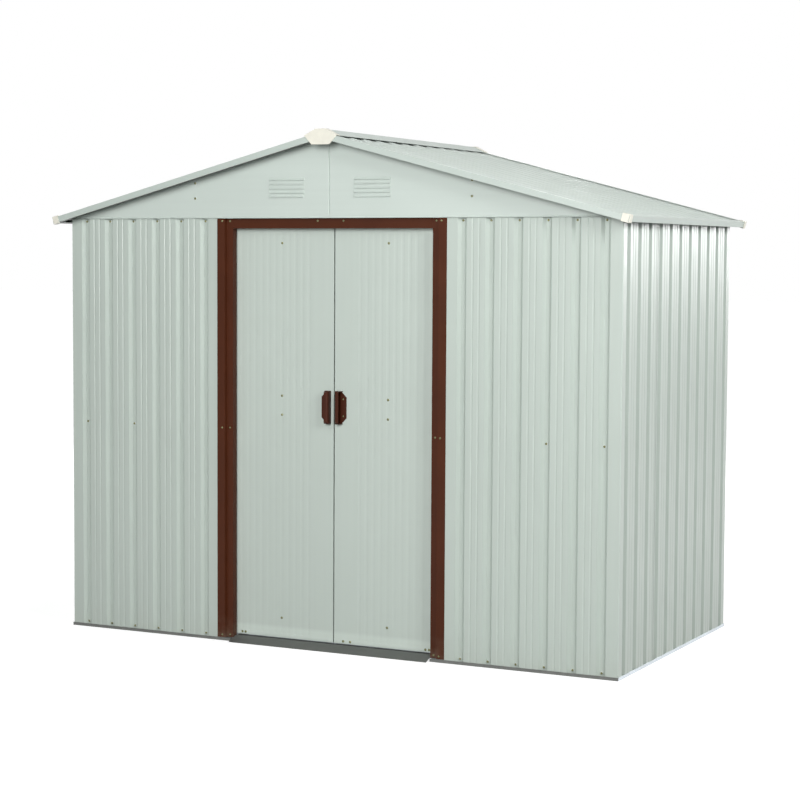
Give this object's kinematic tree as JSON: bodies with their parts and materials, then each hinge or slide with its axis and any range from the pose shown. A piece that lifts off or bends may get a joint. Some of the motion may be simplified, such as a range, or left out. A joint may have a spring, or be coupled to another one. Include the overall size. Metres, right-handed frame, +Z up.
{
  "type": "metal storage shed with sliding doors",
  "caption": "Gabled garden shed of grooved painted steel sheet on base rails, with a brown door frame, louvred gables and a pair of sliding doors.",
  "frame": {"origin": "middle of the footprint at ground level", "axes": "+X to the right along the door front, +Y from the door front to the back, +Z up"},
  "size_m": [2.4398, 1.359, 1.967],
  "materials": {
    "wall_paint": "satin pale grey-green coil coating on steel sheet",
    "door_paint": "satin pale grey-green coil coating on steel sheet",
    "roof_paint": "satin pale grey-green coil coating on steel sheet",
    "trim_paint": "satin pale grey-green coil coating on folded steel",
    "brown_paint": "satin dark brown paint on folded steel",
    "galvanised": "plain galvanised steel",
    "dark_galvanised": "dull dark grey galvanised steel",
    "cream_plastic": "moulded off-white plastic",
    "brown_plastic": "moulded brown plastic",
    "black_nylon": "moulded nylon"
  },
  "bodies": {
    "shed": {"front_base_rails": "dark_galvanised", "side_base_rails": "galvanised", "back_base_rail": "galvanised", "door_sill": "dark_galvanised", "door_floor_track": "galvanised", "front_left_corner_panel": "wall_paint", "front_right_corner_panel": "wall_paint", "rear_left_corner_panel": "wall_paint", "rear_right_corner_panel": "wall_paint", "left_side_panel": "wall_paint", "right_side_panel": "wall_paint", "back_panel": "wall_paint", "side_top_rails": "galvanised", "back_top_rail": "galvanised", "front_mid_rails": "galvanised", "side_mid_rails": "galvanised", "back_mid_rail": "galvanised", "left_jamb": "brown_paint", "right_jamb": "brown_paint", "door_header": "brown_paint", "door_track": "galvanised", "front_left_gable": "wall_paint", "front_right_gable": "wall_paint", "rear_left_gable": "wall_paint", "rear_right_gable": "wall_paint", "roof_purlins": "galvanised", "left_front_roof_panel": "roof_paint", "left_rear_roof_panel": "roof_paint", "right_front_roof_panel": "roof_paint", "right_rear_roof_panel": "roof_paint", "front_verge_trims": "trim_paint", "rear_verge_trims": "trim_paint", "eave_trims": "trim_paint", "eave_corner_caps": "cream_plastic", "ridge_cap": "trim_paint", "ridge_end_caps": "cream_plastic"},
    "left_door": {"left_door_leaf": "door_paint", "left_door_brace": "galvanised", "left_door_handle": "brown_plastic", "left_door_sliders": "black_nylon"},
    "right_door": {"right_door_leaf": "door_paint", "right_door_brace": "galvanised", "right_door_handle": "brown_plastic", "right_door_sliders": "black_nylon"}
  },
  "joints": [
    {"name": "left_door_slide", "type": "slide", "parent": "shed", "child": "left_door", "axis": [-1, 0, 0], "range_m": [0, 0.368]},
    {"name": "right_door_slide", "type": "slide", "parent": "shed", "child": "right_door", "axis": [1, 0, 0], "range_m": [0, 0.368]}
  ]
}
